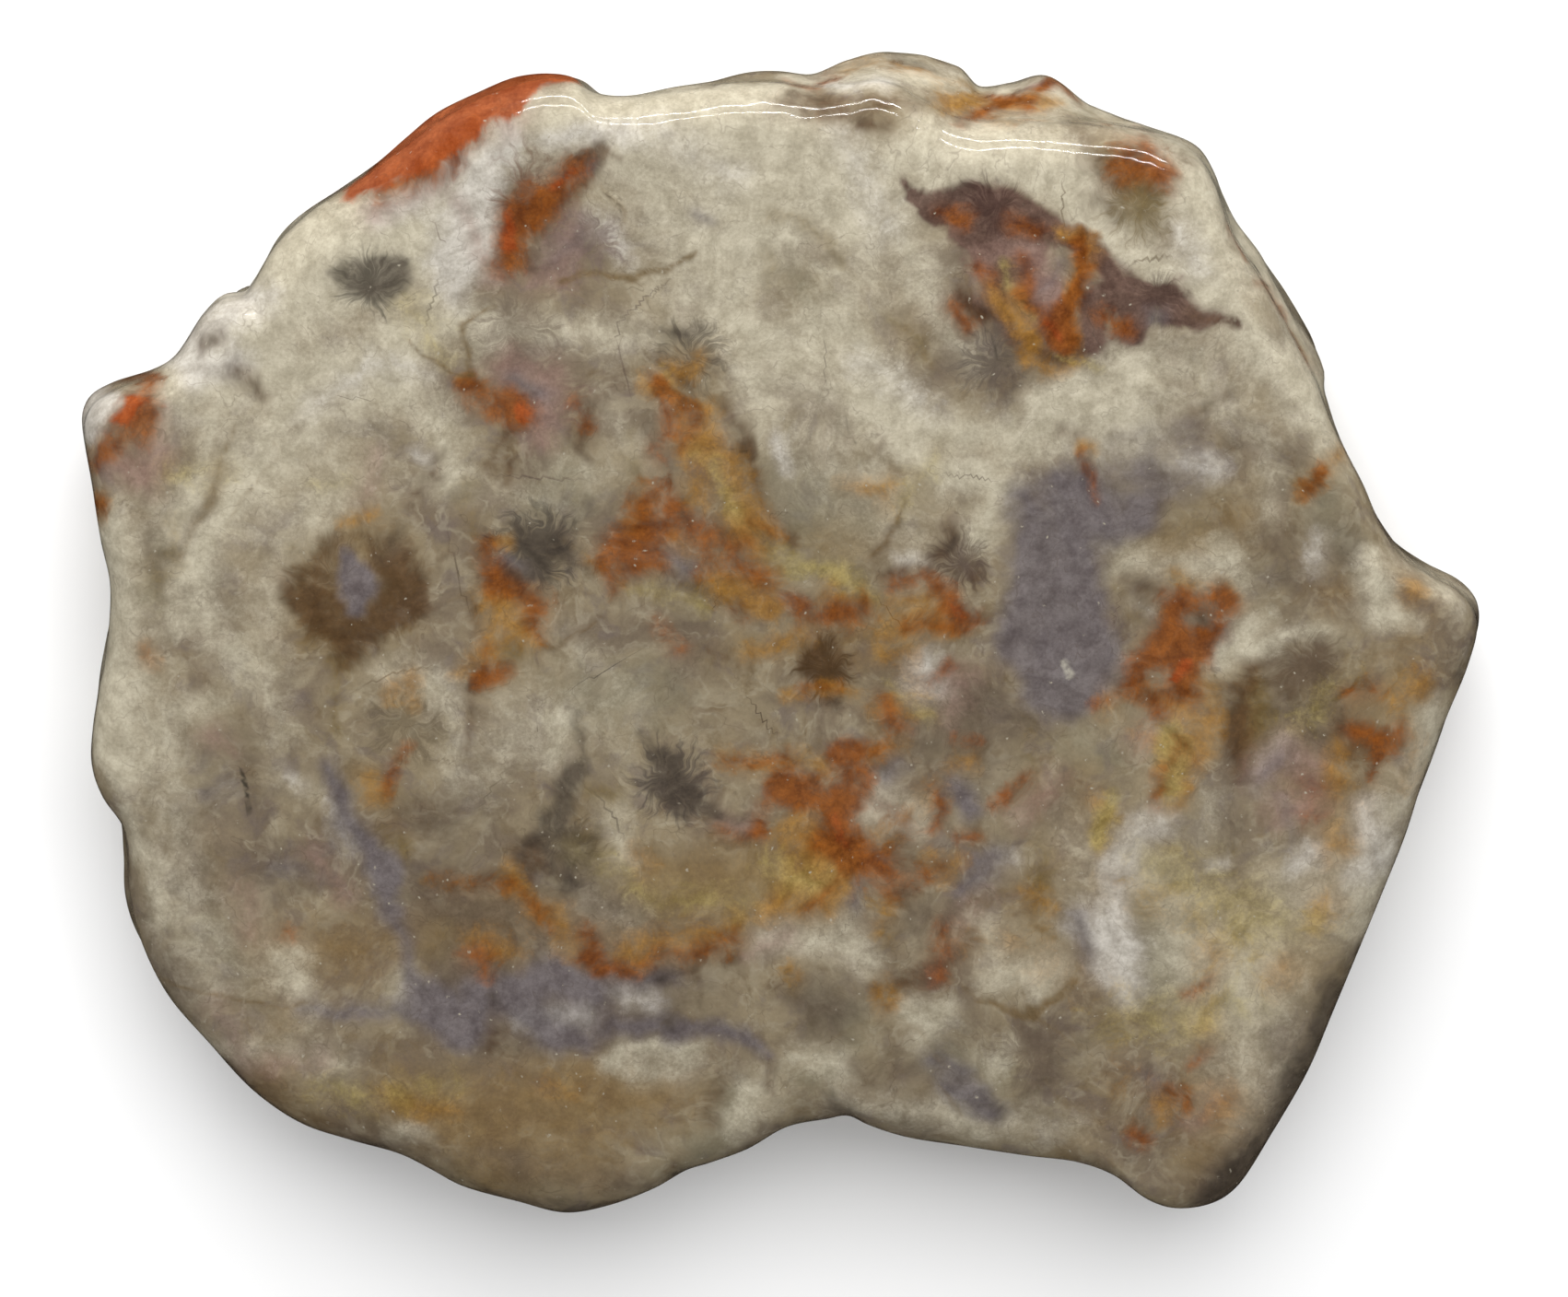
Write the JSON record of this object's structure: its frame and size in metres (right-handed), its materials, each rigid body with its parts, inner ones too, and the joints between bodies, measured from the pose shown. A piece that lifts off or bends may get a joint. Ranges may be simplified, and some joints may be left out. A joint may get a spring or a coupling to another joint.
{
  "type": "polished coprolite slice",
  "caption": "Thick polished slice of agatised dinosaur coprolite: broad gently domed face, rounded lobed rim with a side notch, flat back to lie on.",
  "frame": {"origin": "middle of the slice's own box, on the surface that its flat back lies on", "axes": "+X to the right of the polished face, +Y towards its upper rim, +Z out of the face"},
  "size_m": [0.1144, 0.0956, 0.0209],
  "materials": {
    "polished_stone": "Polished agatised stone: warm grey and cream ground with clouds and pale veins, rust, ochre, orange-red, dark brown and lavender markings, glossy all over."
  },
  "bodies": {
    "root": {"coprolite": "polished_stone"}
  },
  "joints": []
}
